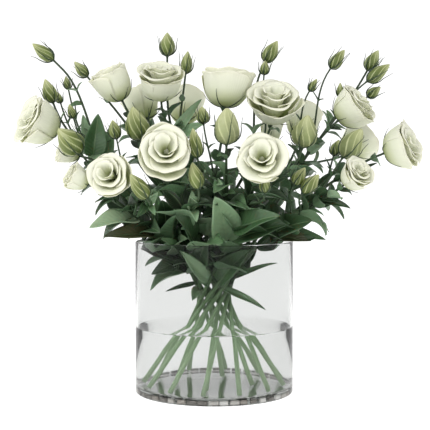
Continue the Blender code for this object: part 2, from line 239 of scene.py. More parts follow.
def turned_frame(node, widest_near_base):
    """Base, axis, half width and length of a turned node, from its area's centre and spread."""
    triangles = corners(node)
    middles = triangles.mean(axis=1)
    edges = triangles[:, 1:] - triangles[:, :1]
    areas = np.linalg.norm(np.cross(edges[:, 0], edges[:, 1]), axis=1)
    centre = (middles * areas[:, None]).sum(0) / areas.sum()
    spread = ((middles - centre) * areas[:, None]).T @ (middles - centre)
    sizes, axes = np.linalg.eigh(spread)
    axis = axes[:, 2] if sizes[1] - sizes[0] < sizes[2] - sizes[1] else axes[:, 0]
    points = triangles.reshape(-1, 3) - centre
    along = points @ axis
    out = np.linalg.norm(points - along[:, None] * axis, axis=1)
    low, high, widest = along.min(), along.max(), along[out.argmax()]
    if (widest - low < high - widest) != widest_near_base:
        axis, low, high = -axis, -high, -low
    return centre + axis * low, axis, out.max(), high - low


FLOWERS = {name: turned_frame(name, name.startswith("bud"))
           for name in sorted(frame["nodes"]) if name.startswith(("bloom", "bud"))}


def ruling(ring, slot):
    """The foot of a stem, its place at the tie and the way it leans."""
    tie_radius = TIE_RADIUS[ring]
    foot_radius = INNER_RADIUS - FOOT_TO_WALL[ring]
    angle = SPIRAL_START + 2 * math.pi * slot / SLOTS[ring]
    tie = np.array([math.cos(angle) * tie_radius, math.sin(angle) * tie_radius, TIE_HEIGHT])
    along = np.array([-math.sin(angle), math.cos(angle), 0])
    reach = math.sqrt(foot_radius**2 - tie_radius**2)
    drop = TIE_HEIGHT - FLOOR - GAP
    drop -= STEM_RADIUS * math.sin(math.atan2(reach, drop))
    foot = tie - along * reach - UP * drop
    return foot, tie, unit(tie - foot)


def grown(start, up, end, facing, handles, count):
    """Points of a curve that leaves its start upwards and comes up into a flower, without the first one."""
    span = np.linalg.norm(end - start)
    controls = (start, start + up * span * handles[0], end - facing * span * handles[1], end)
    return list(curve(controls, (np.arange(1, count + 1) / count)[:, None]))


def stem_route(name):
    ring, slot, top, _ = STEMS[name]
    foot, tie, lean = ruling(ring, slot)
    base, facing = FLOWERS[top][:2]
    return [foot, tie] + grown(tie, lean, base - facing * NECK_GAP, facing, STEM_HANDLES, STEM_POINTS)


def shoot_route(start, up, end, facing, count):
    return [start] + grown(start, up, end, facing, (SHOOT_HANDLE, SHOOT_HANDLE), count)


ROUTES = {name: stem_route(name) for name in STEMS}


def on_stem(name, share):
    """A point part of the way up a stem, and the way the stem grows there."""
    route = ROUTES[name]
    spot = 1 + share * STEM_POINTS
    i = int(spot)
    return route[i] + (route[i + 1] - route[i]) * (spot - i), unit(route[i + 1] - route[i])


# -------------------- mesh building


def grid_faces(rows, columns, first=0, flip=False):
    """The faces of a grid of points, which face the other way when flipped."""
    faces = []
    for i in range(rows - 1):
        for j in range(columns - 1):
            a = first + i * columns + j
            quad = (a, a + 1, a + columns + 1, a + columns)
            faces.append(quad[::-1] if flip else quad)
    return faces


def ring_faces(rings, sides):
    """The faces between rings of points that close on themselves."""
    faces = []
    for i in range(rings - 1):
        for j in range(sides):
            a, b = i * sides + j, i * sides + (j + 1) % sides
            faces.append((a, b, b + sides, a + sides))
    return faces


def blade(points, grow, thickness, under=None):
    """A closed thin solid from a grid of points; grow holds four numbers for each point.

    The third of them can have another value under the blade.
    """
    rows, columns = points.shape[:2]
    down = np.gradient(points, axis=0)
    across = np.gradient(points, axis=1)
    normal = np.cross(across, down)
    normal /= np.maximum(np.linalg.norm(normal, axis=2, keepdims=True), TINY)
    half = thickness / 2
    top = (points + normal * half).reshape(-1, 3)
    bottom = (points - normal * half).reshape(-1, 3)
    count = rows * columns
    faces = grid_faces(rows, columns) + grid_faces(rows, columns, count, True)
    edge = list(range(columns))
    edge += [i * columns + columns - 1 for i in range(1, rows)]
    edge += [(rows - 1) * columns + j for j in range(columns - 2, -1, -1)]
    edge += [i * columns for i in range(rows - 2, 0, -1)]
    for a, b in zip(edge, edge[1:] + edge[:1]):
        faces.append((b, a, a + count, b + count))
    grow = grow.reshape(-1, 4)
    lower = grow.copy()
    if under is not None:
        lower[:, 2] = under
    return np.vstack([top, bottom]), faces, np.vstack([grow, lower])


def tube(points, radii, sides):
    """A closed round tube; its grow values run from its start to its end."""
    points = np.asarray(points, float)
    count = len(points)
    tangents = np.gradient(points, axis=0)
    tangents /= np.linalg.norm(tangents, axis=1, keepdims=True)
    side = unit(np.cross(tangents[0], ASKEW))
    angles = 2 * np.pi * np.arange(sides) / sides
    length = np.concatenate([[0], np.cumsum(np.linalg.norm(np.diff(points, axis=0), axis=1))])
    length /= length[-1]
    verts, grow = [], []
    for middle, tangent, radius, share in zip(points, tangents, radii, length):
        side = unit(side - tangent * (side @ tangent))
        other = np.cross(tangent, side)
        verts.append(middle + radius * (np.cos(angles)[:, None] * side + np.sin(angles)[:, None] * other))
        grow.append(np.column_stack([np.full(sides, share), angles / (2 * np.pi), np.zeros((sides, 2))]))
    verts.append(points[[0, -1]])
    grow.append([[0, 0, 0, 0], [1, 0, 0, 0]])
    faces = ring_faces(count, sides)
    last = (count - 1) * sides
    start, end = count * sides, count * sides + 1
    for j in range(sides):
        after = (j + 1) % sides
        faces += [(start, after, j), (end, last + j, last + after)]
    return np.vstack(verts), faces, np.vstack(grow)


def add_object(name, data):
    item = bpy.data.objects.new(name, data)
    bpy.context.scene.collection.objects.link(item)
    return item


def piece(name, solids, material, nodes=()):
    """One object from several solids, riding on the vase's body."""
    verts, faces, grow = [], [], []
    first = 0
    for points, quads, values in solids:
        verts.append(points)
        grow.append(values)
        faces += [tuple(first + k for k in quad) for quad in quads]
        first += len(points)
    mesh = bpy.data.meshes.new(name)
    mesh.from_pydata(np.vstack(verts).tolist(), [], faces)
    layer = mesh.color_attributes.new("grow", "FLOAT_COLOR", "POINT")
    layer.data.foreach_set("color", np.vstack(grow).astype(np.float32).ravel())
    mesh.materials.append(material)
    mesh.shade_smooth()
    mesh.update()
    item = add_object(name, mesh)
    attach(item, "root")
    if nodes:
        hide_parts(*nodes)
    return item


# -------------------- materials


BLACK, WHITE = (0, 0, 0, 1), (1, 1, 1, 1)


def srgb(*display):
    """A display colour, 0 to 255, as the linear colour that a shader takes."""
    return [c / 255 / 12.92 if c < 11 else ((c / 255 + 0.055) / 1.055) ** 2.4 for c in display] + [1.0]


class Nodes:
    """A short way to make a material's nodes."""

    def __init__(self, name):
        self.material = bpy.data.materials.new(name)
        self.material.use_nodes = True
        self.tree = self.material.node_tree
        self.shader = self.tree.nodes["Principled BSDF"]

    def add(self, kind, inputs=None, **settings):
        node = self.tree.nodes.new(kind)
        for key, value in settings.items():
            setattr(node, key, value)
        for key, value in (inputs or {}).items():
            self.feed(node.inputs[key], value)
        return node

    def feed(self, socket, value):
        """A number or colour set on a socket, or another node's output linked to it."""
        if isinstance(value, bpy.types.NodeSocket):
            self.tree.links.new(value, socket)
        else:
            socket.default_value = value

    def ramp(self, fac, stops):
        node = self.add("ShaderNodeValToRGB", {"Fac": fac})
        elements = node.color_ramp.elements
        while len(elements) < len(stops):
            elements.new(0.5)
        for element, (place, colour) in zip(elements, stops):
            element.position = place
            element.color = colour
        return node.outputs["Color"]

    def maths(self, operation, a, b=0.0):
        return self.add("ShaderNodeMath", {0: a, 1: b}, operation=operation).outputs[0]

    def times(self, value, factor):
        return self.maths("MULTIPLY", value, factor)

    def mix(self, fac, a, b, blend="MIX"):
        node = self.add("ShaderNodeMix", data_type="RGBA", blend_type=blend)
        for key, value in ((0, fac), (6, a), (7, b)):  # the sockets for colours
            self.feed(node.inputs[key], value)
        return node.outputs[2]

    def noise(self, scale, detail=2.0):
        place = self.add("ShaderNodeTexCoord").outputs["Object"]
        inputs = {"Vector": place, "Scale": scale, "Detail": detail}
        return self.add("ShaderNodeTexNoise", inputs).outputs["Fac"]

    def wave(self, place, scale, distortion, detail=2.0):
        inputs = {"Vector": place, "Scale": scale, "Distortion": distortion, "Detail": detail}
        return self.add("ShaderNodeTexWave", inputs).outputs["Fac"]

    def grow(self):
        """The four numbers that a mesh holds for each of its points."""
        colour = self.add("ShaderNodeAttribute", attribute_name="grow")
        parts = self.add("ShaderNodeSeparateColor", {"Color": colour.outputs["Color"]}).outputs
        return parts[0], parts[1], parts[2], colour.outputs["Alpha"]

    def set(self, **values):
        for key, value in values.items():
            self.feed(self.shader.inputs[key.replace("_", " ")], value)

    def bump(self, height, strength, distance):
        node = self.add("ShaderNodeBump", {"Height": height, "Strength": strength, "Distance": distance})
        self.tree.links.new(node.outputs["Normal"], self.shader.inputs["Normal"])


def petal_material():
    n = Nodes("cream_petal")
    along, across, rim = n.grow()[:3]
    # greener and darker towards the base: the petals' own green base, darkened further as painted shade deep
    # in the heart
    base = n.ramp(along, [(0.0, srgb(138, 158, 82)), (0.20, srgb(178, 190, 126)), (0.38, srgb(222, 227, 190)),
                          (0.60, srgb(241, 243, 226)), (1.0, srgb(248, 247, 238))])
    # paler along the rims: a painted highlight where the petals' edges catch the light
    edge = n.mix(n.times(rim, 0.7), base, srgb(252, 249, 238))
    patch = n.mix(n.times(n.noise(45), 0.25), edge, srgb(214, 218, 178))
    fan = n.add("ShaderNodeCombineXYZ", {0: across, 1: n.times(along, 0.12)}).outputs[0]
    n.set(Base_Color=patch, Roughness=0.6, Specular_IOR_Level=0.25)
    n.bump(n.wave(fan, 7.0, 2.5), 0.2, 0.0005)
    lit = n.mix(1.0, patch, srgb(252, 255, 236), "MULTIPLY")
    through = n.add("ShaderNodeBsdfTranslucent", {"Color": lit})
    both = n.add("ShaderNodeMixShader", {0: 0.30, 1: n.shader.outputs[0], 2: through.outputs[0]})
    output = n.tree.nodes["Material Output"]
    n.tree.links.new(both.outputs[0], output.inputs["Surface"])
    return n.material


def bud_material():
    n = Nodes("olive_bud")
    along, fold, ridge, opened = n.grow()
    dark = n.ramp(along, [(0.0, srgb(52, 70, 26)), (0.30, srgb(70, 86, 34)), (0.62, srgb(98, 110, 52)),
                          (1.0, srgb(166, 170, 118))])
    cream = n.ramp(along, [(0.0, srgb(88, 106, 46)), (0.4, srgb(126, 140, 76)), (1.0, srgb(204, 206, 164))])
    sides = n.mix(n.times(fold, 0.6), dark, cream)
    whole = n.mix(n.times(opened, 0.7), sides, srgb(212, 214, 172))
    line = n.ramp(ridge, [(0.35, BLACK), (0.90, WHITE)])
    lined = n.mix(n.times(line, 0.62), whole, srgb(210, 214, 164))
    streak = n.mix(n.times(n.noise(260, 3), 0.25), lined, srgb(92, 100, 48))
    n.set(Base_Color=streak, Roughness=0.45, Specular_IOR_Level=0.4)
    n.bump(n.noise(500, 3), 0.15, 0.0004)
    return n.material


def leaf_material():
    n = Nodes("leaf_green")
    along, across, under, tone = n.grow()
    # leaf greens from dark to pale by tone: the leaves' own differences, and painted shade and light where a
    # leaf is set dark or pale for how it is lit
    top = n.ramp(tone, [(0.0, srgb(32, 52, 28)), (0.25, srgb(70, 102, 64)), (0.5, srgb(112, 146, 104)),
                        (0.75, srgb(164, 190, 154)), (0.95, srgb(64, 66, 40))])
    low = n.ramp(tone, [(0.0, srgb(70, 98, 66)), (0.5, srgb(126, 156, 120)), (0.75, srgb(178, 202, 168)),
                        (0.95, srgb(84, 86, 56))])
    sided = n.mix(under, top, low)
    middle = n.maths("ABSOLUTE", n.maths("SUBTRACT", across, 0.5))
    rib = n.ramp(middle, [(0.0, WHITE), (0.035, BLACK)])
    ribbed = n.mix(n.times(rib, 0.45), sided, srgb(150, 176, 132))
    slant = n.maths("SUBTRACT", along, n.times(middle, 0.55))
    veins = n.wave(n.add("ShaderNodeCombineXYZ", {0: slant}).outputs[0], 3.2, 0.6)
    mottled = n.mix(n.times(n.noise(90, 3), 0.35), ribbed, srgb(44, 66, 40))
    n.set(Base_Color=mottled, Roughness=0.40, Subsurface_Weight=0.05, Subsurface_Scale=0.002,
          Specular_IOR_Level=0.5)
    n.bump(veins, 0.35, 0.0005)
    return n.material


def stem_material():
    """Pale in the water and dark higher up, by the height above the floor: the dark is painted shade among
    the leaves, and the pale is the stems' own paler foot with painted light from the bright water.
    """
    n = Nodes("stem_green")
    place = n.add("ShaderNodeTexCoord").outputs["Object"]
    height = n.add("ShaderNodeSeparateXYZ", {"Vector": place}).outputs[2]
    shade = n.ramp(n.times(height, 3.0),
                   [(0.0, srgb(188, 212, 176)), (0.23, srgb(162, 192, 150)), (0.33, srgb(88, 118, 78)),
                    (0.48, srgb(46, 66, 42)), (1.0, srgb(34, 50, 31))])
    streak = n.mix(n.times(n.noise(300, 3), 0.25), shade, srgb(96, 118, 78))
    n.set(Base_Color=streak, Roughness=0.5, Specular_IOR_Level=0.35)
    n.bump(n.noise(700, 2), 0.2, 0.0003)
    return n.material


def glass_material():
    n = Nodes("clear_glass")
    n.set(Base_Color=(0.77, 0.775, 0.77, 1), Roughness=0.0, Transmission_Weight=1.0, IOR=1.16)
    body = n.add("ShaderNodeVolumeAbsorption", {"Color": (0.55, 0.57, 0.55, 1), "Density": 14.0})
    n.tree.links.new(body.outputs[0], n.tree.nodes["Material Output"].inputs["Volume"])
    return n.material


def painted_refraction_material():
    n = Nodes("painted_refraction_marks")
    shade = n.grow()[3]
    # dark to pale, blotched tones: painted reflections, standing in for what the glass base refracts and
    # reflects
    tone = n.ramp(shade, [(0.0, srgb(62, 59, 54)), (0.3, srgb(150, 142, 134)), (0.65, srgb(206, 203, 198)),
                          (1.0, srgb(244, 243, 241))])
    refraction_blotches = n.mix(n.times(n.noise(220, 3), 0.5), tone, srgb(190, 186, 180))
    n.set(Base_Color=refraction_blotches, Roughness=0.4)
    n.bump(n.noise(500, 2), 0.2, 0.0004)
    return n.material


def water_material():
    n = Nodes("water")
    n.set(Base_Color=(1.0, 1.0, 1.0, 1), Roughness=0.0, Transmission_Weight=1.0, IOR=1.07)
    n.bump(n.noise(28, 2), 0.06, 0.002)
    return n.material


# -------------------- blooms


def mouth_frame(facing):
    """The side and top directions of a flower that faces this way."""
    top = UP if abs(facing[2]) < 0.93 else np.array([0.0, 1.0, 0.0])
    top = unit(top - facing * (top @ facing))
    return np.cross(top, facing), top


PETAL_ROWS, PETAL_COLUMNS = 20, 27
PETAL_THICKNESS = 0.0004
CURL_START = 0.86  # the share of a petal's length past which its rim curls outwards


def petal(spin, wrap, radii, heights, ruffle, spiral, twist, shift, tilt, rng):
    """One petal in its flower's own frame: a ruffled sheet, turned round the flower along a curved profile.

    Its spiral puts one edge outside its neighbour, its twist winds it round the heart, and shift and tilt
    lean it towards one side of the mouth. Its grow values are the share of its length, the share of its
    width, the nearness of its edge and a number of its own.
    """
    v = np.linspace(0, 1, PETAL_ROWS)[:, None]
    u = np.linspace(-1, 1, PETAL_COLUMNS)[None, :]
    phase = rng.uniform(0, 2 * np.pi, 3)
    crest = 1 - 0.17 * np.abs(u) ** 2.6 - 0.010 * np.cos(2.3 * np.pi * u + phase[0])
    reach = v * crest
    radius, rise = curve(radii, reach), curve(heights, reach)
    rim_radius, rim_height = radii[3], heights[3]
    wave = np.sin(1.7 * np.pi * u + phase[1]) + 0.45 * np.sin(3.9 * np.pi * u + phase[2])
    radius = radius + rim_radius * ruffle * reach**4 * wave
    rise = rise + rim_height * ruffle * 0.8 * reach**6 * np.cos(2.3 * np.pi * u + phase[0])
    radius = radius * (1 + spiral * u * reach)
    curl = np.clip((reach - CURL_START) / (1 - CURL_START), 0, 1)
    radius = radius + rim_radius * 0.03 * curl**2
    rise = rise - rim_height * 0.035 * curl**2
    angle = spin + wrap * u * (0.35 + 0.65 * np.sqrt(np.sin(reach * np.pi / 2))) + twist * (1 - reach)
    x = radius * np.cos(angle) + shift[0] * reach**1.6
    y = radius * np.sin(angle) + shift[1] * reach**1.6
    leaning = unit(shift)
    rise = rise - tilt * (x * leaning[0] + y * leaning[1]) * reach**2
    points = np.stack([x, y, rise + 0 * u], axis=2)
    rim = np.maximum(v**14 + 0 * u, np.abs(u) ** 16 * np.clip(3 * v, 0, 1))
    grow = np.stack([reach, 0.5 + 0.5 * u + 0 * v, rim, np.full(reach.shape, rng.uniform(0, 1))], axis=2)
    return points, grow


# whorl: petals, half wrap in degrees, radii and heights of its profile as shares of the cup, ruffle, spiral,
# twist in degrees, share of the heart's lean, tilt
OPEN_WHORLS = [
    (4, 72, (0.06, 0.86, 0.86, 1.00), (0.00, 0.02, 0.58, 0.82), 0.036, 0.09, 0, 0.00, 0.0),
    (3, 88, (0.06, 0.50, 0.50, 0.96), (0.02, 0.06, 0.84, 0.89), 0.040, 0.14, 15, 0.06, 0.06),
    (3, 84, (0.05, 0.34, 0.36, 0.74), (0.14, 0.24, 0.88, 0.94), 0.050, 0.17, 30, 0.20, 0.20),
    (3, 84, (0.04, 0.26, 0.24, 0.50), (0.32, 0.40, 0.88, 0.98), 0.045, 0.17, 35, 0.34, 0.26),
]
CUP_WHORLS = [
    (5, 64, (0.06, 0.92, 0.86, 0.99), (0.00, 0.02, 0.62, 0.95), 0.036, 0.08, 0, 0.00, 0.0),
    (4, 76, (0.06, 0.70, 0.74, 0.84), (0.02, 0.05, 0.70, 1.00), 0.036, 0.10, 10, 0.04, 0.04),
    (3, 84, (0.05, 0.45, 0.50, 0.62), (0.03, 0.10, 0.75, 0.99), 0.022, 0.10, 20, 0.05, 0.1),
    (3, 80, (0.04, 0.25, 0.30, 0.38), (0.03, 0.15, 0.75, 0.96), 0.022, 0.10, 30, 0.08, 0.1),
]
# the way a flower's heart leans, in degrees round its mouth from its right side, and how far, as a share of
# the cup's radius
HEART_LEANS = {
    "bloom_front_left": (120, 0.9), "bloom_front_centre": (88, 0.9), "bloom_front_right": (100, 0.9),
    "bloom_top_right": (85, 1.0), "bloom_low_right": (120, 0.8), "bloom_top_left": (100, 0.8),
    "bloom_upper_right": (110, 0.8), "bloom_far_right": (130, 0.8), "bloom_far_left": (60, 0.8),
}
USUAL_LEAN = (90, 0.5)
CLOSED_BLOOMS = ("bloom_half_open_left", "bloom_upper_left", "bloom_top_centre", "bloom_low_left",
                 "bloom_rear_left", "bloom_rear_centre", "bloom_rear_right", "bloom_rear_small")


def set_on(base, facing, points):
    """Points of a flower's own frame, moved to where the flower is."""
    side, top = mouth_frame(facing)
    return base + points @ np.stack([side, top, facing])


SEPALS = 5
SEPAL_POINTS = 10
SEPAL_ROOT, SEPAL_TIP = 0.0009, 0.00022  # radii
SEPAL_GAP = 0.0007  # from a sepal's middle to the petals under it
SEPAL_TURN = 0.2  # round the flower, from root to tip
CONE_HEIGHTS = np.array([-0.0030, -0.0015, 0, 0.0015, 0.0030])
CONE_RADII = np.array([0.0013, 0.0016, 0.0024, 0.0030, 0.0030])
FULL_CONE_FLOWER = 0.010  # the radius, low down, of the smallest flower with a cone of full size


def sepals(base, facing, outline, reach, stand_off, rng):
    """Needle sepals over a flower's outside, with the small green cone that carries them.

    The outline gives the flower's radius and height for shares of its length.
    """
    solids = []
    start = rng.uniform(0, 2 * np.pi)
    t = np.linspace(0, 1, SEPAL_POINTS)
    for k in range(SEPALS):
        angle = start + 2 * np.pi * k / SEPALS + rng.uniform(-0.15, 0.15) + SEPAL_TURN * t
        radius, height = outline(t * reach * rng.uniform(0.8, 1.1))
        radius = radius + SEPAL_GAP + stand_off * rng.uniform(0.5, 1.4) * t**2
        points = np.column_stack([radius * np.cos(angle), radius * np.sin(angle), height])
        solids.append(tube(set_on(base, facing, points), SEPAL_ROOT + (SEPAL_TIP - SEPAL_ROOT) * t, 6))
    low_radius = outline(np.array([0.3]))[0][0]
    cone = np.column_stack([0 * CONE_HEIGHTS, 0 * CONE_HEIGHTS, CONE_HEIGHTS])
    solids.append(tube(set_on(base, facing, cone), CONE_RADII * min(1, low_radius / FULL_CONE_FLOWER), 12))
    return solids


def cup_outline(half, length):
    """The outside of a bloom, near that of its outermost petals."""
    radii, heights = np.array(OPEN_WHORLS[0][2]) * half, np.array(OPEN_WHORLS[0][3]) * length
    return lambda t: (curve(radii, t), curve(heights, t))


# the outside of a bud: heights as shares of its length, and radii as shares of its half width
BUD_HEIGHTS = [0, 0.04, 0.12, 0.26, 0.42, 0.60, 0.78, 0.90, 0.97, 1]
BUD_WIDTHS = [0.10, 0.42, 0.78, 0.98, 1.0, 0.84, 0.54, 0.30, 0.13, 0.02]


def bud_outline(half, length):
    """The outside of a bud, which its sepals leave above the middle."""
    return lambda t: (np.interp(np.minimum(t, 0.5), BUD_HEIGHTS, BUD_WIDTHS) * half, t * length)


WHORL_TURN = 0.62  # from one whorl to the next
WHORL_BASE, WHORL_STEP = 0.0004, 0.0005  # how high the whorls start
# the column that the whorls stand round: shares of the heart's lean, and of the flower's radius
COLUMN_LEANS = np.array([0, 0.05, 0.12, 0.15])
COLUMN_RADII = np.array([0.05, 0.12, 0.14, 0.05])
BLOOM_SEPALS = (0.55, 0.004)  # their reach as a share of the flower, and how far their tips stand off
BUD_SEPALS = (0.85, 0.0035)
SMALL_BUD_SEPALS = (0.95, 0.003)


def whorls(name, lean, rng):
    """A flower's petals, from the outermost whorl to the heart; the two outer whorls vary less in size."""
    base, facing, half, length = FLOWERS[name]
    solids = []
    offset = rng.uniform(0, 2 * np.pi)
    for ring, whorl in enumerate(CUP_WHORLS if name in CLOSED_BLOOMS else OPEN_WHORLS):
        count, wrap, radii, heights, ruffle, spiral, twist, shift, tilt = whorl
        outer = ring < 2
        for k in range(count):
            spin = offset + ring * WHORL_TURN + 2 * np.pi * k / count + rng.uniform(-0.08, 0.08)
            size = rng.uniform(0.94 if outer else 0.86, 1.05)
            tall = rng.uniform(0.95 if outer else 0.90, 1.03)
            flare = np.array([1, 1, 1, rng.uniform(0.93, 1.09) if outer else 1])
            points, grow = petal(spin, math.radians(wrap), np.array(radii) * flare * half * size,
                                 np.array(heights) * length * tall, ruffle, spiral, math.radians(twist),
                                 lean * shift, tilt, rng)
            points[:, :, 2] += WHORL_BASE + ring * WHORL_STEP
            solids.append(blade(set_on(base, facing, points), grow, PETAL_THICKNESS))
    return solids


def bloom(name, materials, rng):
    base, facing, half, length = FLOWERS[name]
    degrees, share = HEART_LEANS.get(name, USUAL_LEAN)
    lean = np.array([math.cos(math.radians(degrees)), math.sin(math.radians(degrees))]) * share * half
    solids = whorls(name, lean, rng)
    heights = np.array([0.001, 0.2 * length, 0.4 * length, 0.46 * length])
    column = np.column_stack([lean[0] * COLUMN_LEANS, lean[1] * COLUMN_LEANS, heights])
    solids.append(tube(set_on(base, facing, column), COLUMN_RADII * half, 14))
    piece(name + "_petals", solids, materials["petal"], [name])
    green = sepals(base, facing, cup_outline(half, length), *BLOOM_SEPALS, rng)
    piece(name + "_sepals", green, materials["stem"])


BUD_RIDGES = 10
BUD_ROWS, BUD_COLUMNS = 28, 80
BUD_OPENNESS = {"bud_half_open_centre": 0.45, "bud_large_centre_right": 0.2, "bud_large_right": 0.2}


def bud_solid(base, facing, half, length, openness, rng):
    """A pointed bud of furled petals whose edges wind round it as fine ridges."""
    v = np.linspace(0, 1, BUD_ROWS)[:, None]
    angle = np.linspace(0, 2 * np.pi, BUD_COLUMNS, endpoint=False)[None, :]
    body = np.interp(v, BUD_HEIGHTS, BUD_WIDTHS) + 0.2 * openness * np.clip((v - 0.5) / 0.3, 0, 1)
    start = rng.uniform(0, 2 * np.pi)
    wind = angle + 1.1 * v + 0.10 * np.sin(3 * angle + start) + start
    ridge = np.abs(np.cos(BUD_RIDGES / 2 * wind)) ** 12
    fold = 0.5 + 0.5 * np.sin(wind * BUD_RIDGES / 4)
    radius = half * body * (0.93 + 0.06 * ridge + 0.04 * fold)
    x, y = radius * np.cos(angle), radius * np.sin(angle)
    z = length * v * np.ones_like(angle)
    points = np.stack([x, y, z], axis=2).reshape(-1, 3)
    grow = np.stack([v + 0 * angle, fold + 0 * v, ridge + 0 * v, openness + 0 * ridge], axis=2)
    faces = ring_faces(BUD_ROWS, BUD_COLUMNS)
    faces.append(tuple(range(BUD_COLUMNS - 1, -1, -1)))
    faces.append(tuple((BUD_ROWS - 1) * BUD_COLUMNS + j for j in range(BUD_COLUMNS)))
    return set_on(base, facing, points), faces, grow.reshape(-1, 4)


def bud(name, materials, rng):
    base, facing, half, length = FLOWERS[name]
    solid = bud_solid(base, facing, half, length, BUD_OPENNESS.get(name, 0.0), rng)
    piece(name + "_furled", [solid], materials["bud"], [name])
    green = sepals(base, facing, bud_outline(half, length), *BUD_SEPALS, rng)
    piece(name + "_sepals", green, materials["stem"])


# -------------------- leaves and stems


LEAF_ROWS, LEAF_COLUMNS = 22, 11
LEAF_THICKNESS = 0.00045
SINGLE_LEAF_SIDE = unit([0.1, -0.8, 0.6])
SINGLE_LEAF_LIFT = 0.15  # as a share of the width
WALL_CLEARANCE = 0.003
INSIDE_DEPTH = 0.012  # below the rim, where the leaves start that stay inside the vase
WALL_REACH, RIM_REST = 0.004, 0.0025  # above the rim: how far it holds them in, and where other leaves rest
RIM_SLOPE = 2.5  # how steeply a leaf may dip inside the rim
BARE_BELOW, BARE_FROM = RIM + 0.005, 0.012  # the stems leaning right are bare inside the vase
BRACT_WIDTH, BRACT_LIFT, BRACT_TONE = 4.5, 0.8, 0.1  # the pair of small leaves under a side bud, mm


def leaf_solid(base, tip, width, lift, side, tone, rng):
    """An ovate, pointed blade with a grooved midrib and a slight wave.

    Its grow values are the share of its length, the share of its width, 1 on its underside, and its tone.
    """
    way = tip - base
    length = np.linalg.norm(way)
    across = unit(np.cross(way, side))
    up = unit(np.cross(across, way))
    v = np.linspace(0, 1, LEAF_ROWS)[:, None]
    u = np.linspace(-1, 1, LEAF_COLUMNS)[None, :]
    outline = np.sin(np.pi * v**0.74) ** 0.70 * (1 - 0.22 * v) * 1.10 + 0.16 * (1 - v) ** 4 + 0.012
    half = width / 2 * outline
    bow = lift * np.sin(np.pi * v) + length * 0.10 * rng.uniform(-0.4, 1.0) * v**2 * (1 - v) * 4
    fold = np.abs(u) * half * 0.32 - 0.10 * half * np.cos(np.pi * u)
    wave = 0.05 * width * np.sin(2 * np.pi * (1.4 * v + rng.uniform(0, 1))) * np.abs(u)
    sway = width * 0.12 * rng.uniform(-1, 1) * np.sin(np.pi * v)
    points = (base + way * v[:, :, None] + across * ((u * half) + sway)[:, :, None]
              + up * (bow + fold + wave)[:, :, None])
    points = keep_off_glass(points, base[2] < RIM - INSIDE_DEPTH)
    grow = np.stack([v + 0 * u, 0.5 + 0.5 * u + 0 * v, 0 * u * v, tone + 0 * u * v], axis=2)
    return blade(points, grow, LEAF_THICKNESS, under=1.0)


def single_leaf(start, offset, width, tone, rng):
    """A leaf from a point on a stem, with its tip's place and its width in millimetres."""
    tip = start + np.array(offset) * MM
    return leaf_solid(start, tip, width * MM, width * SINGLE_LEAF_LIFT * MM, SINGLE_LEAF_SIDE, tone, rng)


def keep_off_glass(points, inside):
    """Leaves inside the vase stay inside its wall, and leaves above it rest on its rim."""
    radius = np.hypot(points[..., 0], points[..., 1])
    limit = INNER_RADIUS - WALL_CLEARANCE
    if inside:
        held = points[..., 2] < RIM + WALL_REACH
        squeeze = np.where(held, np.minimum(1, limit / np.maximum(radius, TINY)), 1)
        points[..., 0] *= squeeze
        points[..., 1] *= squeeze
    else:
        lowest = RIM + RIM_REST - RIM_SLOPE * np.maximum(limit - radius, 0)
        points[..., 2] = np.maximum(points[..., 2], lowest)
    return points


def pair_leaves(name, rng):
    """Opposite pairs of leaves up a stem, each pair a quarter turn from the last."""
    solids = []
    turn = rng.uniform(0, np.pi)
    for share, length, width in LEAF_PAIRS:
        share = share + rng.uniform(-0.03, 0.03)
        start, grows = on_stem(name, share)
        first = unit(np.cross(grows, [0.2, 0.3, 0.9]))
        second = np.cross(grows, first)
        if start[2] < BARE_BELOW and start[0] > BARE_FROM:
            continue
        for half_turn in (0, np.pi):
            angle = turn + half_turn + rng.uniform(-0.35, 0.35)
            out = math.cos(angle) * first + math.sin(angle) * second
            lean = math.radians(rng.uniform(42, 72))
            size = rng.uniform(0.78, 1.12)
            way = (grows * math.cos(lean) + out * math.sin(lean)) * length * size * MM
            tip = start + way - UP * length * size * MM * rng.uniform(0.05, 0.30)
            base = start + out * STEM_RADIUS * 0.5
            tone = rng.choice(list(PAIR_TONES), p=list(PAIR_TONES.values()))
            solids.append(leaf_solid(base, tip, width * size * MM, length * 0.10 * MM, grows, tone, rng))
        turn += np.pi / 2
    return solids


def shoot_leaves(flower, way, rng):
    """Small pairs of leaves on a side shoot, and the larger single ones."""
    solids = []
    for end, share, offset, width, tone in SHOOT_LEAVES:
        if end == flower:
            solids.append(single_leaf(way[int(share * (len(way) - 1))], offset, width, tone, rng))
    for share, length in SHOOT_PAIRS:
        spot = int(share * (len(way) - 1))
        grows = unit(way[spot + 1] - way[spot])
        out = unit(np.cross(grows, rng.normal(size=3)))
        for side in (1, -1):
            size = length * rng.uniform(0.8, 1.15) * MM
            tip = way[spot] + unit(grows * 0.7 + out * side) * size
            tone = rng.choice(SHOOT_TONES)
            solids.append(leaf_solid(way[spot], tip, size * 0.45, size * 0.1, grows, tone, rng))
    return solids


def single_leaves(name, rng):
    solids = []
    for stem_name, share, offset, width, tone in SINGLE_LEAVES:
        if stem_name == name:
            solids.append(single_leaf(on_stem(name, share)[0], offset, width, tone, rng))
    return solids


def frame_leaf(name, materials, rng):
    stem, share, width, lift, side, tone = FRAME_LEAVES[name]
    start, grows = on_stem(stem, share)
    points = corners(name).reshape(-1, 3)
    tip = points[np.linalg.norm(points - start, axis=1).argmax()]
    out = unit((tip - start) - grows * ((tip - start) @ grows))
    base = start + out * STEM_RADIUS * 0.6
    solid = leaf_solid(base, tip, width * MM, lift * MM, np.array(side), tone, rng)
    piece(name + "_blade", [solid], materials["leaf"], [name])


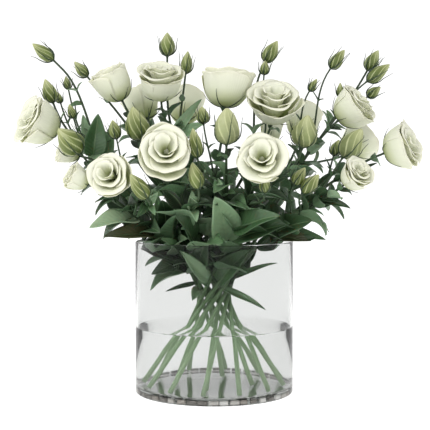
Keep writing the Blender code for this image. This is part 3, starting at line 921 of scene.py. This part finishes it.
def smooth_route(route, count):
    """More points along a route, on a curve through its own points."""
    route = np.asarray(route)
    padded = np.vstack([2 * route[0] - route[1], route, 2 * route[-1] - route[-2]])
    result = []
    for i in range(1, len(padded) - 2):
        p0, p1, p2, p3 = padded[i - 1:i + 3]
        for t in np.arange(count) / count:
            result.append(0.5 * (2 * p1 + (p2 - p0) * t + (2 * p0 - 5 * p1 + 4 * p2 - p3) * t**2
                                 + (3 * p1 - p0 - 3 * p2 + p3) * t**3))
    return np.vstack(result + [route[-1]])


def small_buds(name, materials, rng):
    """Makes the small side buds of a stem, and returns the routes of the shoots that carry them."""
    shoots, solids, leaves = [], [], []
    for stem_name, share, offset, facing, width, length in SMALL_BUDS:
        if stem_name != name:
            continue
        start, grows = on_stem(name, share)
        facing = unit(facing)
        base = start + np.array(offset) * MM
        way = shoot_route(start, grows, base, facing, SMALL_SHOOT_POINTS)
        shoots.append(way)
        solids.append(bud_solid(base, facing, width * MM / 2, length * MM, 0.0, rng))
        leaves += sepals(base, facing, bud_outline(width * MM / 2, length * MM), *SMALL_BUD_SEPALS, rng)
        spot = way[9]
        out = unit(np.cross(grows, [0.3, 0.8, 0.1]))
        for side in (1, -1):
            tip = spot + (out * side * 0.7 + UP * 0.6) * rng.uniform(10, 15) * MM
            leaves.append(leaf_solid(spot, tip, BRACT_WIDTH * MM, BRACT_LIFT * MM, UP, BRACT_TONE, rng))
    if solids:
        piece(name + "_small_buds", solids, materials["bud"])
        piece(name + "_small_sepals", leaves, materials["leaf"])
    return shoots


def stem(name, materials, rng):
    """A stem that thins to its flower and is thickest under water, with its shoots, small buds and leaves."""
    shoots = STEMS[name][3]
    route = ROUTES[name]
    straight = [route[0] + (route[1] - route[0]) * t for t in np.linspace(0, 1, 7)[:-1]]
    points = np.vstack([straight, smooth_route(route[1:], 3)])
    share = np.linspace(0, 1, len(points))
    radii = STEM_RADIUS + (NECK_RADIUS - STEM_RADIUS) * np.clip((share - 0.2) / 0.8, 0, 1)
    radii = radii * (1 + 0.15 * np.clip(1 - points[:, 2] / WATER_LEVEL, 0, 1))
    solids = [tube(points, radii, 12)]
    leaves = pair_leaves(name, rng) + single_leaves(name, rng)
    for flower, place_up in shoots:
        base, facing = FLOWERS[flower][:2]
        spot = 1 + max(1, round(place_up * STEM_POINTS))
        up = unit(route[spot + 1] - route[spot - 1])
        way = smooth_route(shoot_route(route[spot], up, base - facing * NECK_GAP, facing, SHOOT_POINTS), 3)
        taper = SHOOT_RADIUS * (1.25 - 0.3 * np.linspace(0, 1, len(way)))
        solids.append(tube(way, taper, 10))
        leaves += shoot_leaves(flower, way, rng)
    for way in small_buds(name, materials, rng):
        solids.append(tube(way, SHOOT_RADIUS * (1.1 - 0.35 * np.linspace(0, 1, len(way))), 8))
    piece(name + "_leaves", leaves, materials["leaf"])
    piece(name + "_skin", solids, materials["stem"], [name])


# -------------------- vase and water


TURN_STEPS = 192
HEEL = 0.004  # the radius inside the vase, between its floor and its wall
BASE_EDGE = 0.003


def turned(name, profile, material, node):
    """A closed turned solid: the profile of (radius, height) starts and ends on the axis."""
    mesh = bpy.data.meshes.new(name)
    mesh.from_pydata([(r, 0, z) for r, z in profile], [(i, i + 1) for i in range(len(profile) - 1)], [])
    mesh.materials.append(material)
    item = add_object(name, mesh)
    screw = item.modifiers.new("Turn", "SCREW")
    screw.steps = screw.render_steps = TURN_STEPS
    screw.use_merge_vertices = True
    screw.merge_threshold = 0.00001
    screw.use_smooth_shade = True
    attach(item, "root")
    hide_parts(node)
    return item


def arc(centre, radius, start, end, count):
    """Points of a profile's round corner, from one angle to another in degrees."""
    turns = np.radians(np.linspace(start, end, count))
    return [(centre[0] + radius * math.cos(t), centre[1] + radius * math.sin(t)) for t in turns]


def vase(materials):
    """A plain cylinder of glass with a round lip and a heavy floor."""
    lip = (OUTER_RADIUS - INNER_RADIUS) / 2
    profile = [(0, FLOOR), (INNER_RADIUS * 0.5, FLOOR)]
    profile += arc((INNER_RADIUS - HEEL, FLOOR + HEEL), HEEL, -90, 0, 7)
    profile += [(INNER_RADIUS, RIM * 0.5)]
    profile += arc((OUTER_RADIUS - lip, RIM - lip), lip, 180, 0, 9)
    profile += [(OUTER_RADIUS, RIM * 0.5)]
    profile += arc((OUTER_RADIUS - BASE_EDGE, BASE_EDGE), BASE_EDGE, 0, -90, 6)
    profile += [(OUTER_RADIUS * 0.5, 0), (0, 0)]
    turned("glass_vase_wall", profile, materials["glass"], "glass_vase")


# dark and pale marks inside the glass base, painted reflections of what the base refracts, not cut facets
REFRACTION_MARKS = 46
REFRACTION_MARK_POINTS = 6
REFRACTION_MARK_DEPTH = 0.0055  # of a mark's middle inside the base's outer face
REFRACTION_MARK_THICKNESS = 0.0040
REFRACTION_MARK_HEIGHTS = (0.0015, FLOOR - 0.0022)
REFRACTION_MARK_TONES = {0.05: 0.3, 0.3: 0.3, 0.6: 0.2, 0.9: 0.2}  # how often each tone of the painted reflections comes, from dark to pale


def foot(materials, rng):
    """Short dark and pale marks inside the edge of the vase's base: painted reflections, standing in for what
    the glass refracts there.
    """
    solids = []
    pitch = 2 * np.pi / REFRACTION_MARKS
    radius = OUTER_RADIUS - REFRACTION_MARK_DEPTH
    for k in range(REFRACTION_MARKS):
        wide = pitch * rng.uniform(0.55, 0.92)
        turns = np.linspace(pitch * k, pitch * k + wide, REFRACTION_MARK_POINTS)
        edges = [np.column_stack([radius * np.cos(turns), radius * np.sin(turns), np.full(REFRACTION_MARK_POINTS, z)])
                 for z in REFRACTION_MARK_HEIGHTS]
        tone = rng.choice(list(REFRACTION_MARK_TONES), p=list(REFRACTION_MARK_TONES.values()))
        solids.append(blade(np.stack(edges), np.full((2, REFRACTION_MARK_POINTS, 4), tone), REFRACTION_MARK_THICKNESS))
    piece("glass_vase_painted_refractions", solids, materials["foot"])


def water(materials):
    """The water reaches a skin's depth into the glass and climbs it a little at its edge."""
    skin, climb = 0.0002, 0.0018
    radius = INNER_RADIUS + skin
    profile = [(0, WATER_LEVEL), (radius * 0.5, WATER_LEVEL), (radius - 0.006, WATER_LEVEL)]
    profile += [(radius - 0.003, WATER_LEVEL + climb * 0.12), (radius - 0.0012, WATER_LEVEL + climb * 0.45),
                (radius, WATER_LEVEL + climb)]
    profile += arc((radius - HEEL, FLOOR - skin + HEEL), HEEL, 0, -90, 7)
    profile += [(radius * 0.5, FLOOR - skin), (0, FLOOR - skin)]
    turned("water_body", profile, materials["water"], "water")


# -------------------- stage, light and camera


FLOOR_HALF = 6
FLOOR_DROP = 0.0002  # below the vase's base


def stage():
    """A pale floor that glows enough to look white."""
    mesh = bpy.data.meshes.new("floor")
    square = [(x * FLOOR_HALF, y * FLOOR_HALF, 0) for x, y in ((-1, -1), (1, -1), (1, 1), (-1, 1))]
    mesh.from_pydata(square, [], [(0, 1, 2, 3)])
    floor = add_object("floor", mesh)
    floor.location.z = -FLOOR_DROP
    n = Nodes("pale_floor")
    n.set(Base_Color=(0.35, 0.35, 0.35, 1), Roughness=0.8, Specular_IOR_Level=0.0,
          Emission_Color=(1, 1, 1, 1), Emission_Strength=1.05)
    mesh.materials.append(n.material)


KEY_PLACE, KEY_TARGET = Vector((-1.5, -1.9, 2.0)), Vector((0, 0, 0.25))
KEY_SIZE, KEY_POWER = 0.9, 34


def key_light():
    """A round soft light from the upper left."""
    data = bpy.data.lights.new("key", "AREA")
    data.shape = "DISK"
    data.size = KEY_SIZE
    data.energy = KEY_POWER
    item = add_object("key", data)
    item.location = KEY_PLACE
    item.rotation_euler = (KEY_TARGET - KEY_PLACE).to_track_quat("-Z", "Y").to_euler()


def world():
    """An even white studio, half as bright overhead so that the key light models the petals."""
    sky = bpy.data.worlds.new("studio")
    bpy.context.scene.world = sky
    sky.use_nodes = True
    tree = sky.node_tree
    background = tree.nodes["Background"]
    coords = tree.nodes.new("ShaderNodeTexCoord")
    parts = tree.nodes.new("ShaderNodeSeparateXYZ")
    ramp = tree.nodes.new("ShaderNodeValToRGB")
    overhead = (0.50, 0.51, 0.52, 1)
    for element, place, colour in zip(ramp.color_ramp.elements, (0.35, 0.85), (WHITE, overhead)):
        element.position = place
        element.color = colour
    tree.links.new(coords.outputs["Generated"], parts.inputs[0])
    tree.links.new(parts.outputs[2], ramp.inputs[0])
    tree.links.new(ramp.outputs[0], background.inputs["Color"])
    background.inputs["Strength"].default_value = 1.18


CAMERA_SIDE = 0.001
CAMERA_DISTANCE = 1.35
CAMERA_HEIGHT = 0.2645
CAMERA_PITCH = math.radians(2.19)
CAMERA_LENS = 94.0


def camera():
    data = bpy.data.cameras.new("camera")
    data.lens = CAMERA_LENS
    item = add_object("camera", data)
    item.location = (CAMERA_SIDE, -CAMERA_DISTANCE, CAMERA_HEIGHT)
    item.rotation_euler = (math.pi / 2 - CAMERA_PITCH, 0, 0)
    bpy.context.scene.camera = item


PLANT_SEED, FOOT_SEED = 7, 3


def main():
    rng = np.random.default_rng(PLANT_SEED)
    materials = {"petal": petal_material(), "bud": bud_material(), "leaf": leaf_material(),
                 "stem": stem_material(), "glass": glass_material(), "water": water_material(),
                 "foot": painted_refraction_material()}
    vase(materials)
    foot(materials, np.random.default_rng(FOOT_SEED))
    water(materials)
    for name in STEMS:
        stem(name, materials, rng)
    for name in FLOWERS:
        (bloom if name.startswith("bloom") else bud)(name, materials, rng)
    for name in FRAME_LEAVES:
        frame_leaf(name, materials, rng)
    stage()
    world()
    key_light()
    camera()
    bpy.context.scene.view_settings.view_transform = "Standard"
    bpy.context.scene.cycles.use_denoising = True


main()
